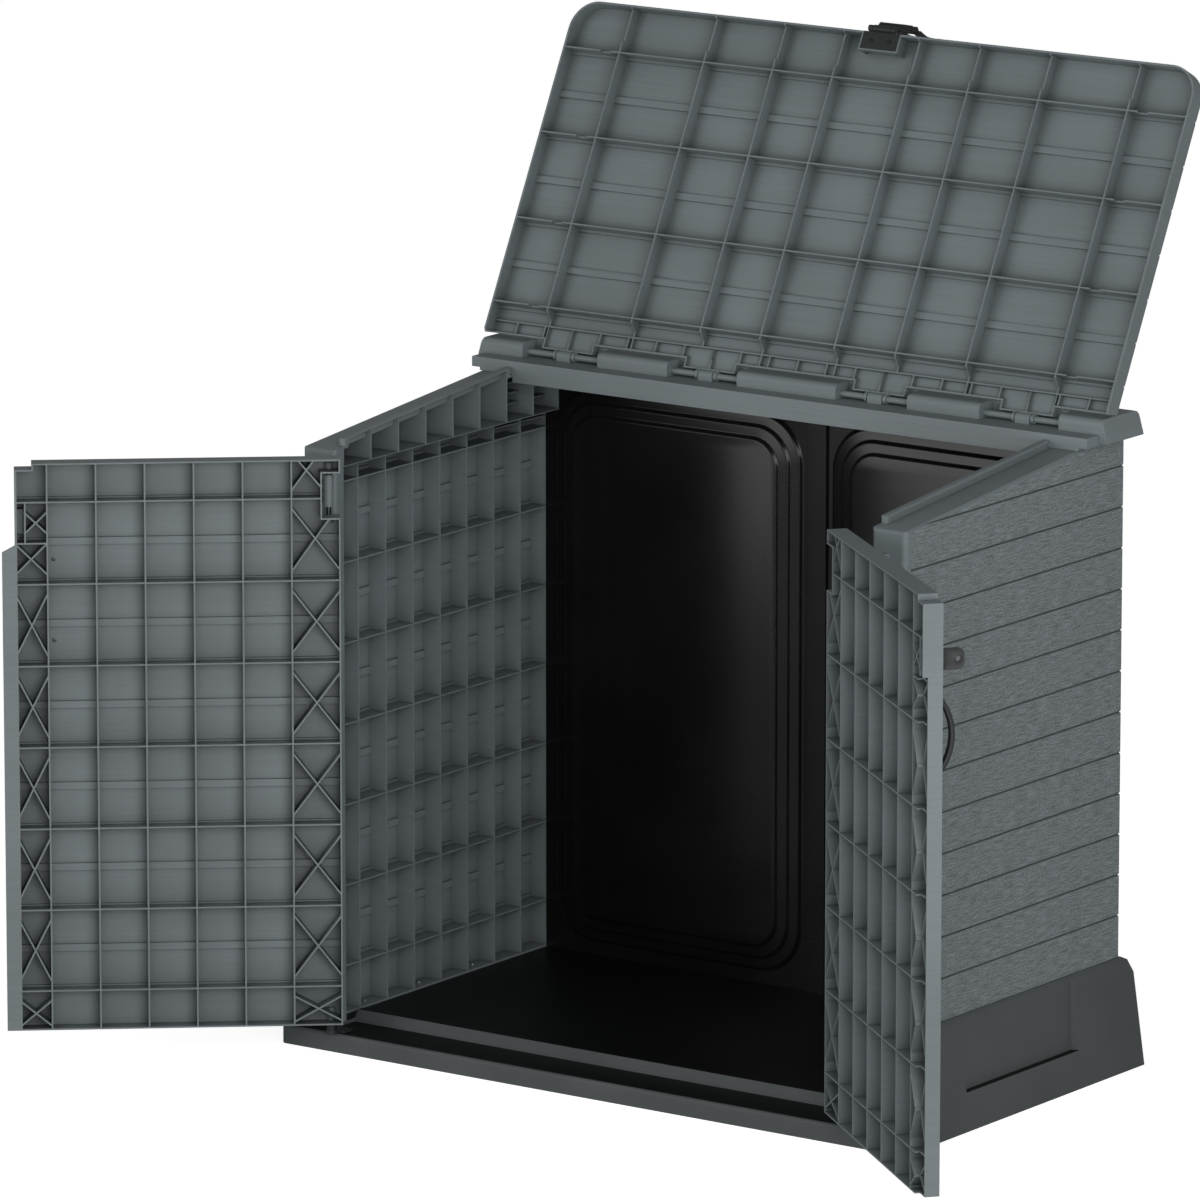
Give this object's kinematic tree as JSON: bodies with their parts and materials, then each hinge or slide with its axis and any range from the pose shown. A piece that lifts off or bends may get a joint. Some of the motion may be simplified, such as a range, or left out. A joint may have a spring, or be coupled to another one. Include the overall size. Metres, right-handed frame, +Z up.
{
  "type": "storage shed",
  "caption": "Low horizontal garden storage shed in moulded plastic, with a lifting lid and ribbed double doors standing open.",
  "frame": {"origin": "middle of the base's underside, on the ground", "axes": "+X to the right seen from the front, +Y from the doors to the back, +Z up"},
  "size_m": [2.1756, 1.585, 1.9318],
  "materials": {
    "grey_plastic": "moulded satin grey plastic, with wood grain on the outer planks",
    "black_base_plastic": "moulded satin near-black plastic",
    "black_panel_plastic": "smooth thermoformed black plastic",
    "black_fittings": "moulded black plastic fittings",
    "steel": "zinc-plated steel"
  },
  "bodies": {
    "shed": {"floor_tray": "black_base_plastic", "left_wall": "grey_plastic", "right_wall": "grey_plastic", "back_panel_left": "black_panel_plastic", "back_panel_right": "black_panel_plastic", "back_joint_strip": "black_panel_plastic", "rear_beam": "grey_plastic", "hinge_cover": "grey_plastic", "lid_hinge_pins": "grey_plastic", "wall_screws": "steel", "beam_screws": "steel", "upper_hinge_bracket_left": "grey_plastic", "upper_hinge_bracket_right": "grey_plastic", "upper_bracket_screws": "steel", "lower_hinge_plate_left": "black_fittings", "lower_hinge_plate_right": "black_fittings", "lower_plate_screws": "steel"},
    "lid": {"lid_panel": "grey_plastic", "latch_plate": "black_fittings", "latch_screws": "steel", "latch_pin": "steel"},
    "latch": {"latch_strap": "black_fittings"},
    "left_door": {"left_door_panel": "grey_plastic", "left_upper_pin": "steel", "left_lower_pin": "steel", "left_handle": "black_fittings", "left_handle_screws": "steel", "left_hasp": "black_fittings", "left_hasp_screws": "steel"},
    "right_door": {"right_door_panel": "grey_plastic", "right_upper_pin": "steel", "right_lower_pin": "steel", "right_handle": "black_fittings", "right_handle_screws": "steel", "right_hasp": "black_fittings", "right_hasp_screws": "steel"}
  },
  "joints": [
    {"name": "lid_hinge", "type": "hinge", "parent": "shed", "child": "lid", "pos_m": [0, 0.2674, 1.2676], "axis": [1, 0, 0], "range_deg": [0, 122.4]},
    {"name": "latch_hinge", "type": "hinge", "parent": "lid", "child": "latch", "pos_m": [0, 0.57582, 1.92268], "axis": [1, 0, 0], "range_deg": [0, 170.1]},
    {"name": "left_door_hinge", "type": "hinge", "parent": "shed", "child": "left_door", "pos_m": [-0.6005, -0.4175, 0.6], "axis": [0, 0, 1], "range_deg": [-38, 140.4]},
    {"name": "right_door_hinge", "type": "hinge", "parent": "shed", "child": "right_door", "pos_m": [0.6005, -0.4175, 0.6], "axis": [0, 0, 1], "range_deg": [-140.4, 38]}
  ]
}
